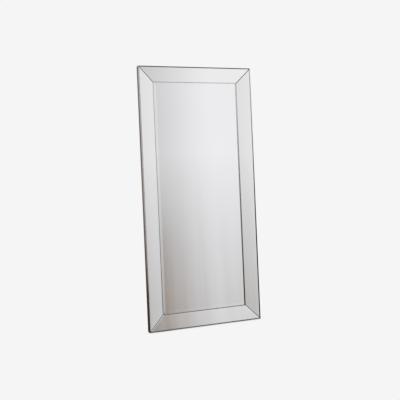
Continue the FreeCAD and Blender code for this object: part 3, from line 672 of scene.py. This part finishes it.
def screw_places(node_name):
    """Each screw of a CAD node: the middle of its head's seat, its head's radius and height, its length."""
    shape = bmesh.new()
    shape.from_mesh(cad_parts[node_name].data)
    bmesh.ops.remove_doubles(shape, verts=shape.verts, dist=WELD_DISTANCE)
    waiting, places = set(shape.verts), []
    for first in shape.verts:
        if first not in waiting:
            continue
        waiting.discard(first)
        found, reached = [], [first]
        while reached:
            vertex = reached.pop()
            found.append(vertex.co)
            for edge in vertex.link_edges:
                other = edge.other_vert(vertex)
                if other in waiting:
                    waiting.discard(other)
                    reached.append(other)
        low = Vector([min(p[i] for p in found) for i in range(3)])
        high = Vector([max(p[i] for p in found) for i in range(3)])
        middle, radius = (low + high) / 2, (high.x - low.x) / 2
        rim = [p.y for p in found if Vector((p.x - middle.x, p.z - middle.z)).length > RIM_SHARE * radius]
        seat = Vector((middle.x, min(rim), middle.z))
        places.append((seat, radius, high.y - seat.y, seat.y - low.y))
    shape.free()
    return places


def cross_reach(angle):
    """How far a cross-shaped recess reaches at an angle, as a share of its arms' length."""
    half_width = math.tan(2 * math.pi / SCREW_POINTS)
    off_arm = abs((angle + QUARTER_TURN / 2) % QUARTER_TURN - QUARTER_TURN / 2)
    along = 1 / math.cos(off_arm)
    return along if off_arm < LEAST_ANGLE else min(along, half_width / math.sin(off_arm))


def add_screw(shape, seat, radius, height, length, turn):
    """A pan-head screw that points forwards: turned shank and head, and a tapered cross recess."""
    rings = []

    def ring(share, y, reach=None):
        points = []
        for i in range(SCREW_POINTS):
            angle = 2 * math.pi * i / SCREW_POINTS
            r = share * radius * (reach(angle) if reach else 1)
            points.append(seat + Vector((r * math.cos(angle + turn), y, r * math.sin(angle + turn))))
        rings.append([shape.verts.new(p) for p in points])

    for share, y in SHANK_SHARES:
        ring(share, -y * length)
    for share, y in HEAD_SHARES:
        ring(share, y * height)
    for share, y in RECESS_SHARES:
        ring(share, y * height, cross_reach)
    for lower, upper in zip(rings, rings[1:]):
        for i in range(SCREW_POINTS):
            j = (i + 1) % SCREW_POINTS
            shape.faces.new((lower[i], upper[i], upper[j], lower[j]))
    shape.faces.new(rings[0])
    shape.faces.new(reversed(rings[-1]))


def model_screws(node_name, material):
    """Full screws in place of a node's plain ones."""
    shape = bmesh.new()
    for index, (seat, radius, height, length) in enumerate(screw_places(node_name)):
        add_screw(shape, seat, radius, height, length, index * SCREW_TURN)
    bmesh.ops.recalc_face_normals(shape, faces=shape.faces)
    for face in shape.faces:
        face.smooth = True
    for edge in shape.edges:
        edge.smooth = edge.calc_face_angle(0) < SCREW_CREASE
    mesh = bpy.data.meshes.new(node_name + "_full")
    shape.to_mesh(mesh)
    shape.free()
    mesh.materials.append(material)
    piece = bpy.data.objects.new(node_name + "_full", mesh)
    bpy.context.scene.collection.objects.link(piece)
    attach(piece, ROOT)
    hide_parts(node_name)


# Studio


def bare_material(name):
    """A material with no shader yet, its node tree and its output."""
    material = bpy.data.materials.new(name)
    material.use_nodes = True
    tree = material.node_tree
    tree.nodes.clear()
    return material, tree, node(tree, "OutputMaterial")


def stage_plane(name, corners, material):
    """A four-cornered stage surface."""
    mesh = bpy.data.meshes.new(name)
    mesh.from_pydata(corners, [], [(0, 1, 2, 3)])
    mesh.materials.append(material)
    surface = bpy.data.objects.new(name, mesh)
    bpy.context.scene.collection.objects.link(surface)
    return surface


def studio_floor():
    """A pale floor that gives its own even light, a little darker where something stands close."""
    material, tree, output = bare_material("pale_floor")
    light = node(tree, "Emission")
    close = node(tree, "AmbientOcclusion")
    close.inputs["Distance"].default_value = CONTACT_REACH
    colours = (GAP_SHADE, grey(PALE * CONTACT_SHADE), grey(PALE))
    shade = ramp(tree, close.outputs["AO"], list(zip(OPENNESS, colours)))
    tree.links.new(shade, light.inputs["Color"])
    tree.links.new(light.outputs["Emission"], output.inputs["Surface"])
    half = FLOOR_SIZE / 2
    corners = [(-half, -half, 0), (half, -half, 0), (half, half, 0), (-half, half, 0)]
    floor = stage_plane("studio_floor", corners, material)
    floor.visible_glossy = False


def corners_across(y, half_width, low, high):
    """The corners of an upright screen that stands parallel to the mirror."""
    return [(-half_width, y, low), (half_width, y, low), (half_width, y, high), (-half_width, y, high)]


def shade_screen(name, corners, amount, dark):
    """A see-through screen that only reflections see, and that darkens them: amount and dark give how
    much and to what colour, from the screen's node tree."""
    material, tree, output = bare_material(name)
    clear = node(tree, "BsdfTransparent")
    glow = node(tree, "Emission")
    connect(tree, dark(tree), glow.inputs["Color"])
    mixed = node(tree, "MixShader")
    tree.links.new(amount(tree), mixed.inputs["Fac"])
    tree.links.new(clear.outputs["BSDF"], mixed.inputs[1])
    tree.links.new(glow.outputs["Emission"], mixed.inputs[2])
    tree.links.new(mixed.outputs["Shader"], output.inputs["Surface"])
    screen = stage_plane(name, corners, material)
    screen.visible_camera = False
    screen.visible_diffuse = False
    screen.visible_shadow = False
    screen.visible_transmission = False


def front_shade():
    """The soft shade that the glass reflects: darker to the left, and warmer and darker low down."""

    def amount(tree):
        x, z = axis_of(tree, "X"), axis_of(tree, "Z")
        left = product(
            tree,
            map_range(tree, x, LEFT_FADE, (LEFT_SHADE, 0), smooth=True),
            map_range(tree, x, LEFT_RISE, (0, 1), smooth=True),
        )
        down = product(
            tree,
            map_range(tree, z, LOW_FADE, (LOW_SHADE, 0)),
            map_range(tree, x, LOW_RIGHT_FADE, (1, LOW_RIGHT_SHARE), smooth=True),
        )
        corner = product(
            tree,
            map_range(tree, x, CORNER_FADE_ACROSS, (CORNER_SHADE, 0), smooth=True),
            map_range(tree, z, CORNER_FADE_UP, (1, 0), smooth=True),
        )
        bands = noise(tree, place_of(tree, STREAK_STRETCH), scale=1.0, detail=2.0)
        streaks = map_range(tree, bands, NOISE_SPAN, STREAK_SHARES)
        total = calculate(tree, "ADD", calculate(tree, "ADD", left, corner), product(tree, down, streaks))
        for axis, ends in FRONT_ENDS.items():
            for end in ends:
                total = product(tree, total, map_range(tree, axis_of(tree, axis), end, (0, 1), smooth=True))
        return total

    def dark(tree):
        x, z = axis_of(tree, "X"), axis_of(tree, "Z")
        warmth = product(
            tree,
            map_range(tree, z, WARM_RISE, (0, 1)),
            map_range(tree, x, WARM_RIGHT_RISE, (WARM_RIGHT_SHARE, 1), smooth=True),
            map_range(tree, x, WARM_LEFT_RISE, (WARM_LEFT_SHARE, 1), smooth=True),
        )
        return shades(tree, warmth, NEUTRAL_DARK, WARM_DARK, span=(0, 1))

    corners = corners_across(FRONT - FRONT_DISTANCE, FRONT_HALF_WIDTH, FRONT_LOW, FRONT_HIGH)
    shade_screen("front_shade", corners, amount, dark)


def side_shade():
    """A dark screen off the left side, which the lacquered side of the frame reflects near the floor."""

    def amount(tree):
        return map_range(tree, axis_of(tree, "Z"), SIDE_RISE, (0, 1), smooth=True)

    def dark(tree):
        return SIDE_DARK

    x = cad_low.x - SIDE_DISTANCE
    (near, far), (low, high) = SIDE_DEPTH, SIDE_HEIGHT
    corners = [(x, near, low), (x, far, low), (x, far, high), (x, near, high)]
    shade_screen("side_shade", corners, amount, dark)


def back_shade():
    """A soft shade behind the mirror, darker low down, which the metal at the back reflects."""

    def amount(tree):
        height = map_range(tree, axis_of(tree, "Z"), BACK_FADE, BACK_SHADES, smooth=True)
        cloud = noise(tree, place_of(tree, BACK_STRETCH), scale=1.2, detail=2.0)
        return product(tree, height, map_range(tree, cloud, BACK_CLOUD_SPAN, BACK_CLOUD_SHARES))

    def dark(tree):
        return BACK_DARK

    corners = corners_across(cad_high.y + BACK_DISTANCE, BACK_HALF_WIDTH, BACK_LOW, BACK_HIGH)
    shade_screen("back_shade", corners, amount, dark)


def soft_light(name, place, width, height, watts, target=LIGHT_TARGET):
    """A soft box that points at a target, and that no reflection shows."""
    data = bpy.data.lights.new(name, "AREA")
    data.shape = "RECTANGLE"
    data.size = width
    data.size_y = height
    data.energy = watts
    light = bpy.data.objects.new(name, data)
    light.location = place
    light.rotation_mode = "QUATERNION"
    light.rotation_quaternion = (Vector(target) - Vector(place)).to_track_quat("-Z", "Y")
    light.visible_camera = False
    light.visible_glossy = False
    bpy.context.scene.collection.objects.link(light)


def studio():
    """Pale surroundings, the reflected shades and the soft boxes."""
    world = bpy.data.worlds.new("pale_world")
    world.use_nodes = True
    world.node_tree.nodes["Background"].inputs["Color"].default_value = (PALE, PALE, PALE, 1)
    bpy.context.scene.world = world
    studio_floor()
    front_shade()
    side_shade()
    back_shade()
    soft_light(
        "key_left_high", place=(-2.2, -1.6, 2.6), width=1.2, height=1.2, watts=40, target=(-0.3, 0, 1.1)
    )
    soft_light("back_left", place=(-2.6, 1.5, 2.2), width=1.0, height=1.6, watts=45)
    soft_light("back_right", place=(2.2, 1.5, 1.4), width=0.7, height=1.6, watts=25)


def camera():
    """The photograph's view."""
    data = bpy.data.cameras.new("camera")
    data.sensor_width = SENSOR
    data.lens = FOCAL_PIXELS / PHOTO_SIZE * SENSOR
    data.shift_y = (AXIS_ROW - PHOTO_SIZE / 2) / PHOTO_SIZE
    view = bpy.data.objects.new("camera", data)
    look = CAMERA_LOOK.normalized()
    right = look.cross(CAMERA_UP).normalized()
    turn = Matrix((right, right.cross(look), -look)).transposed().to_4x4()
    view.matrix_world = Matrix.Translation(CAMERA_PLACE + Vector((0, FRONT, BASE))) @ turn
    bpy.context.scene.collection.objects.link(view)
    bpy.context.scene.camera = view


finish_nodes()
studio()
camera()
bpy.context.scene.view_settings.view_transform = "Standard"
